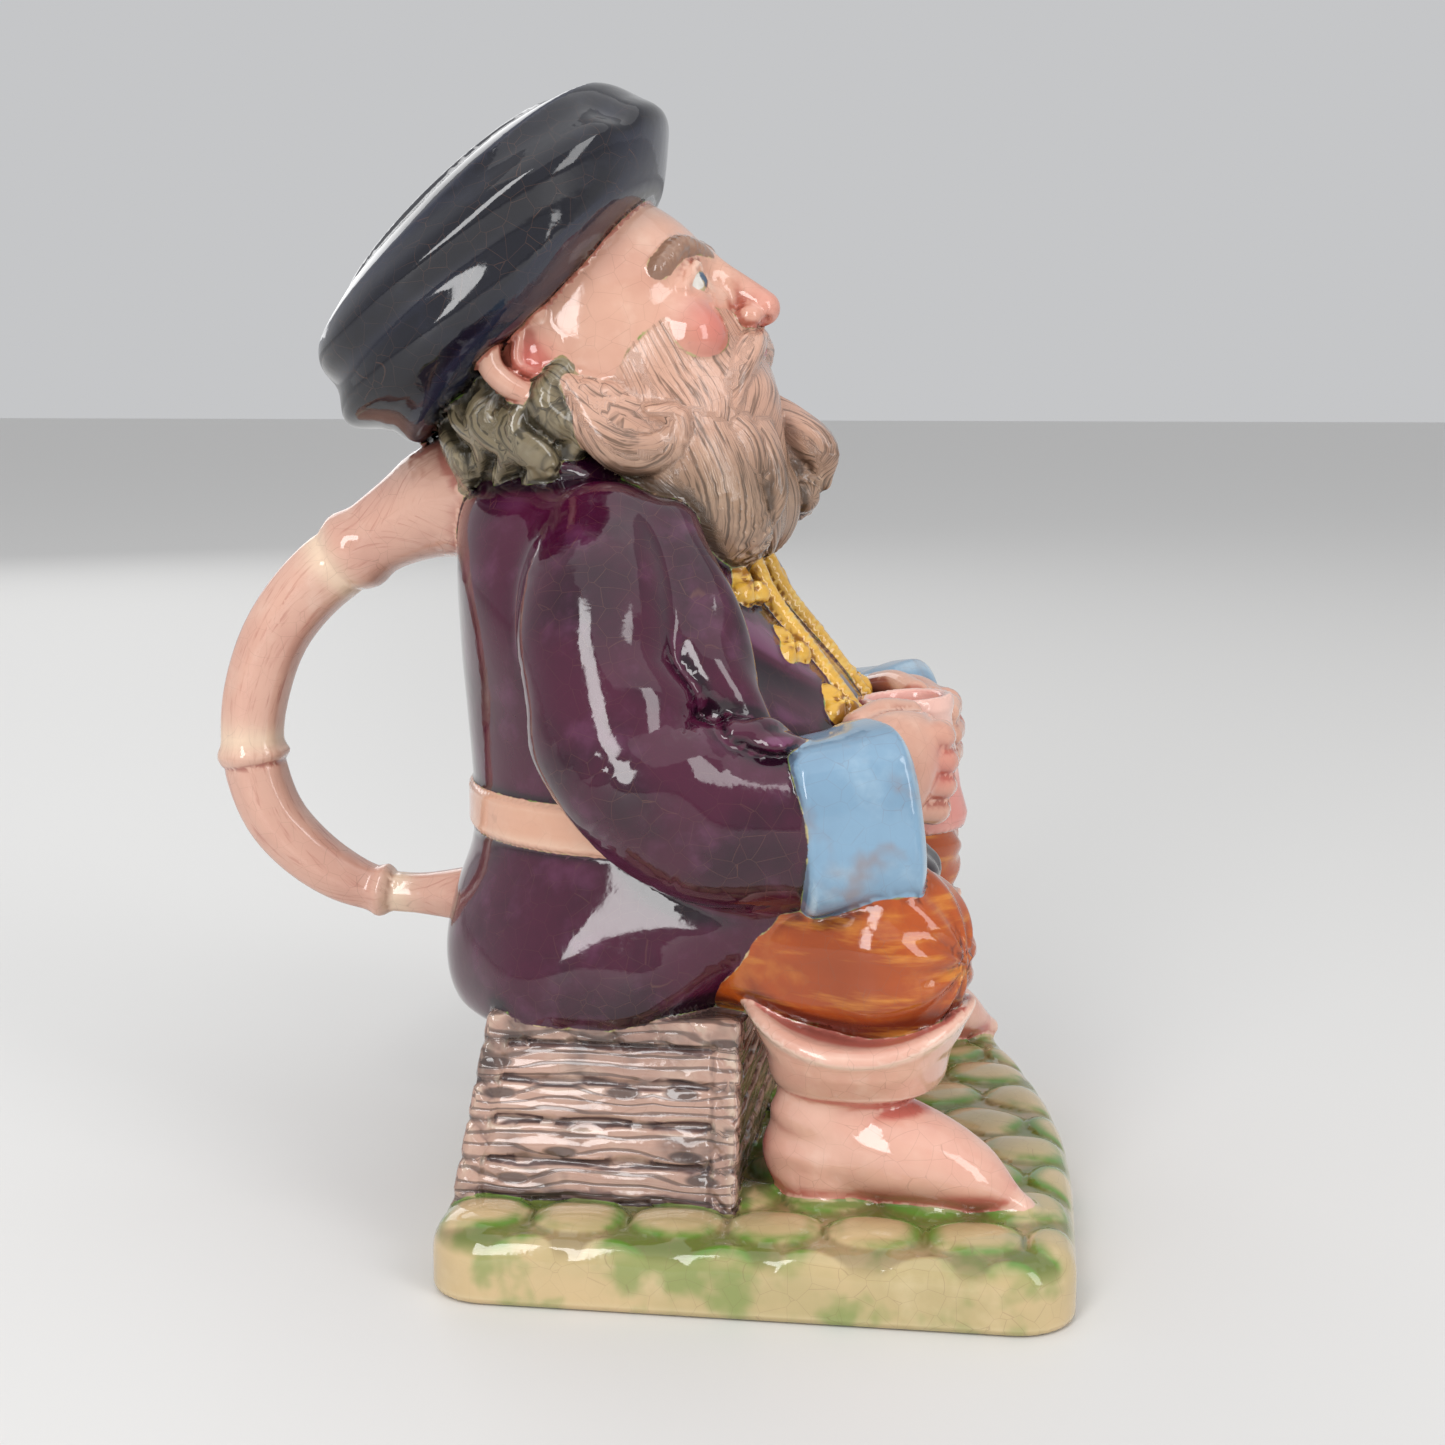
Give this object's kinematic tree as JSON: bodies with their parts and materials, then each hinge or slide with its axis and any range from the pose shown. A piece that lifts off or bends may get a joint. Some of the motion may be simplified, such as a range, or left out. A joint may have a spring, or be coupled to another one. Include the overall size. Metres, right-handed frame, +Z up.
{
  "type": "toby jug",
  "caption": "Glazed earthenware toby jug: a bearded seated man in a beret holds a mug on a crate over cobbles; hollow, pours from the hat, bamboo-cane handle at the back",
  "frame": {"origin": "centre of the footprint of the whole solid, on the plane the foot rim stands on", "axes": "+X the way the seated man faces, away from the handle; +Y his left; +Z up, along the jug's height"},
  "size_m": [0.145, 0.118, 0.1788],
  "materials": {
    "glazed_earthenware": "clear gloss glaze over hand-painted underglaze colours on cream earthenware, finely crazed"
  },
  "bodies": {
    "root": {"toby_jug": "glazed_earthenware"}
  },
  "joints": []
}
